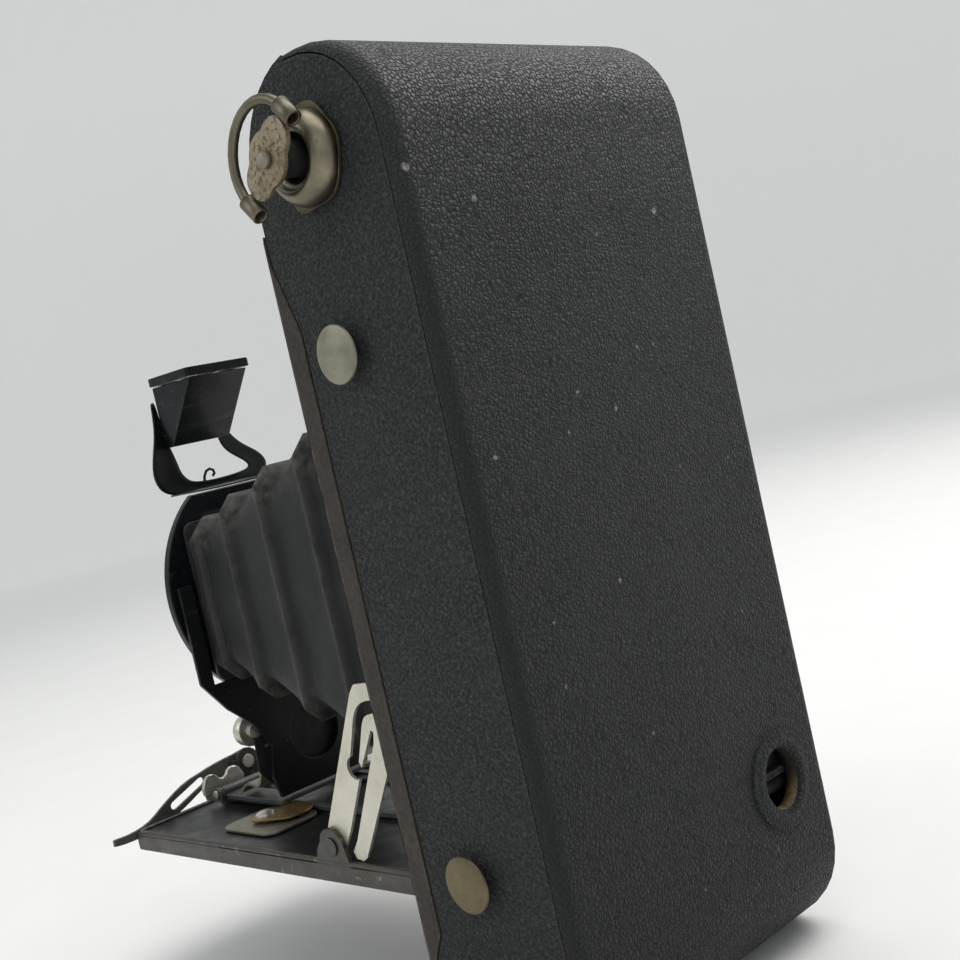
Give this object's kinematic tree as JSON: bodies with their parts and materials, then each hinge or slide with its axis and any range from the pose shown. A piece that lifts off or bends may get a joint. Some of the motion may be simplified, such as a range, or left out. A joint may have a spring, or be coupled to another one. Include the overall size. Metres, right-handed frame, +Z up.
{
  "type": "folding roll-film camera",
  "caption": "Folding roll-film camera with a lowered bed, pleated bellows, round shutter board, swivelling finder, slotted struts and a winding key.",
  "frame": {"origin": "Centre of the width, on the flat strip of the lower end that the camera stands on; Y = 0 lies 23.9 mm in front of the back cover's outer face.", "axes": "+Z up along the body's length, lens looks along -Y, back cover at +Y, winding key on +X."},
  "size_m": [0.1037, 0.1749, 0.21],
  "materials": {
    "cloth": "fine-grained black leather cloth",
    "worn_frame": "black paint worn to brown metal",
    "blackened": "blackened metal",
    "nickel": "old nickel plate",
    "brass": "worn brass",
    "tarnished": "tarnished nickel with rust spots",
    "bellows": "pleated black leather with worn ridges",
    "leather": "pebbled black leather over pressed metal",
    "bed_inside": "satin black enamel, rubbed at the edges",
    "grey_enamel": "worn grey-black enamel",
    "enamel": "gloss black enamel",
    "glass": "clear polished glass",
    "mirror": "small silvered mirror"
  },
  "bodies": {
    "case": {"case_body": "cloth", "front_frame": "worn_frame", "film_gate": "blackened", "strap_stud_upper": "nickel", "strap_stud_lower": "brass", "winder_flange": "tarnished", "winder_collar": "tarnished"},
    "upper_roller": {"film_roller_upper": "nickel"},
    "lower_roller": {"film_roller_lower": "nickel"},
    "back": {"back_cover": "leather", "window_ring": "leather"},
    "latch": {"back_latch": "nickel"},
    "button": {"bed_button": "nickel"},
    "key": {"key_shaft": "blackened", "key_plate": "tarnished", "key_rivet": "tarnished", "takeup_spool": "blackened"},
    "bail": {"key_bail": "tarnished"},
    "supply": {"supply_spool": "blackened"},
    "pin_upper": {"spool_pin_upper": "nickel"},
    "pin_lower_right": {"spool_pin_lower_right": "nickel"},
    "pin_lower_left": {"spool_pin_lower_left": "nickel"},
    "bed_link": {"bed_hinge_pin": "nickel", "bellows": "bellows"},
    "bed": {"bed_tray": "bed_inside", "bed_leather": "leather", "tripod_bush": "nickel", "bed_rail_left": "nickel", "bed_rail_right": "nickel", "focus_scale": "nickel", "catch_plate": "tarnished", "catch_rivet": "nickel", "strut_rivet_left": "nickel", "strut_rivet_right": "nickel", "leg_rivet": "nickel"},
    "catch": {"focus_catch": "brass"},
    "leg": {"stand_leg": "grey_enamel"},
    "strut_l": {"strut_left": "nickel"},
    "strut_r": {"strut_right": "nickel"},
    "slide": {"slide_plate": "grey_enamel", "slide_handle": "nickel", "standard_hinge_pin": "nickel"},
    "base": {"standard_base": "grey_enamel"},
    "standard": {"standard_yoke": "grey_enamel", "bellows_front_frame": "blackened", "lens_board": "enamel", "shutter_housing": "enamel", "lens_rim": "nickel", "lens_glass": "glass", "clamp_spring": "nickel", "finder_bracket": "enamel"},
    "nut": {"clamp_nut": "nickel"},
    "finder": {"finder_housing": "enamel", "finder_top_frame": "enamel", "finder_top_lens": "glass", "finder_front_lens": "glass", "finder_mirror": "mirror"},
    "release": {"release_lever": "nickel"},
    "aperture": {"aperture_pointer": "nickel"},
    "speed": {"speed_pointer": "nickel"}
  },
  "joints": [
    {"name": "back_off", "type": "slide", "parent": "case", "child": "back", "axis": [0, 1, 0], "range_m": [0, 0.06]},
    {"name": "back_latch_slide", "type": "slide", "parent": "case", "child": "latch", "axis": [0, 0, 1], "range_m": [0, 0.003]},
    {"name": "bed_button_push", "type": "slide", "parent": "case", "child": "button", "axis": [1, 0, 0], "range_m": [0, 0.0012], "stiffness_N_per_m": 400, "springref_m": -0.0005},
    {"name": "winding_key_turn", "type": "hinge", "parent": "case", "child": "key", "pos_m": [0.044, 0.0002, 0.189], "axis": [1, 0, 0], "continuous": true},
    {"name": "key_bail_fold", "type": "hinge", "parent": "key", "child": "bail", "pos_m": [0.0546, 0.0005, 0.189], "axis": [0, 0.7593, 0.6508], "range_deg": [0, 90]},
    {"name": "supply_spool_turn", "type": "hinge", "parent": "case", "child": "supply", "pos_m": [0, 0.0002, 0.021], "axis": [1, 0, 0], "continuous": true},
    {"name": "upper_roller_turn", "type": "hinge", "parent": "case", "child": "upper_roller", "pos_m": [0, 0.0174, 0.1776], "axis": [1, 0, 0], "continuous": true},
    {"name": "lower_roller_turn", "type": "hinge", "parent": "case", "child": "lower_roller", "pos_m": [0, 0.0174, 0.0369], "axis": [1, 0, 0], "continuous": true},
    {"name": "spool_pin_upper_pull", "type": "slide", "parent": "case", "child": "pin_upper", "axis": [-1, 0, 0], "range_m": [0, 0.007]},
    {"name": "spool_pin_lower_right_pull", "type": "slide", "parent": "case", "child": "pin_lower_right", "axis": [-1, 0, 0], "range_m": [0, 0.007]},
    {"name": "spool_pin_lower_left_pull", "type": "slide", "parent": "case", "child": "pin_lower_left", "axis": [1, 0, 0], "range_m": [0, 0.007]},
    {"name": "bed_fold_first", "type": "hinge", "parent": "case", "child": "bed_link", "pos_m": [0, -0.0228, 0.0386], "axis": [1, 0, 0], "range_deg": [-30, 0], "deforming": ["bellows"]},
    {"name": "bed_fold_second", "type": "hinge", "parent": "bed_link", "child": "bed", "pos_m": [0, -0.0228, 0.0386], "axis": [1, 0, 0], "range_deg": [-60, 0], "deforming": ["bellows"]},
    {"name": "focus_catch_swing", "type": "hinge", "parent": "bed", "child": "catch", "pos_m": [0.023, -0.1058, 0.0408], "axis": [0, 0, 1], "range_deg": [0, 25]},
    {"name": "stand_leg_swing", "type": "hinge", "parent": "bed", "child": "leg", "pos_m": [-0.001, -0.1494, 0.047], "axis": [0, 1, 0], "range_deg": [0, 90]},
    {"name": "strut_left_fold", "type": "hinge", "parent": "bed", "child": "strut_l", "pos_m": [0.0367, -0.0558, 0.0436], "axis": [1, 0, 0], "range_deg": [0, 121.5]},
    {"name": "strut_right_fold", "type": "hinge", "parent": "bed", "child": "strut_r", "pos_m": [-0.0367, -0.0558, 0.0436], "axis": [1, 0, 0], "range_deg": [0, 121.5]},
    {"name": "carriage_slide", "type": "slide", "parent": "bed", "child": "slide", "axis": [0, -1, 0], "range_m": [-0.1086, 0], "deforming": ["bellows"]},
    {"name": "standard_tilt", "type": "hinge", "parent": "slide", "child": "base", "pos_m": [0, -0.1368, 0.044], "axis": [1, 0, 0], "range_deg": [0, 90], "deforming": ["bellows"]},
    {"name": "focus_slide", "type": "slide", "parent": "base", "child": "standard", "axis": [0, -1, 0], "range_m": [0, 0.006], "deforming": ["bellows"]},
    {"name": "clamp_nut_turn", "type": "hinge", "parent": "standard", "child": "nut", "pos_m": [0.0175, -0.1128, 0.0634], "axis": [0, 1, 0], "range_deg": [0, 90]},
    {"name": "finder_swivel", "type": "hinge", "parent": "standard", "child": "finder", "pos_m": [0, -0.1348, 0.145], "axis": [0, 1, 0], "range_deg": [0, 90]},
    {"name": "shutter_release_press", "type": "hinge", "parent": "standard", "child": "release", "pos_m": [-0.0155, -0.1233, 0.1195], "axis": [0, 1, 0], "range_deg": [0, 12], "stiffness_Nm_per_rad": 0.02, "springref_deg": -5.73},
    {"name": "aperture_set", "type": "hinge", "parent": "standard", "child": "aperture", "pos_m": [0, -0.1228, 0.0875], "axis": [0, 1, 0], "range_deg": [-40, 40]},
    {"name": "speed_set", "type": "hinge", "parent": "standard", "child": "speed", "pos_m": [0, -0.1228, 0.1175], "axis": [0, 1, 0], "range_deg": [-40, 40]}
  ],
  "couplings": [
    {"joint": "strut_left_fold", "follows": "bed_fold_second", "ratio": -2.025},
    {"joint": "strut_right_fold", "follows": "bed_fold_second", "ratio": -2.025},
    {"joint": "standard_tilt", "follows": "bed_fold_second", "ratio": -1.5}
  ]
}
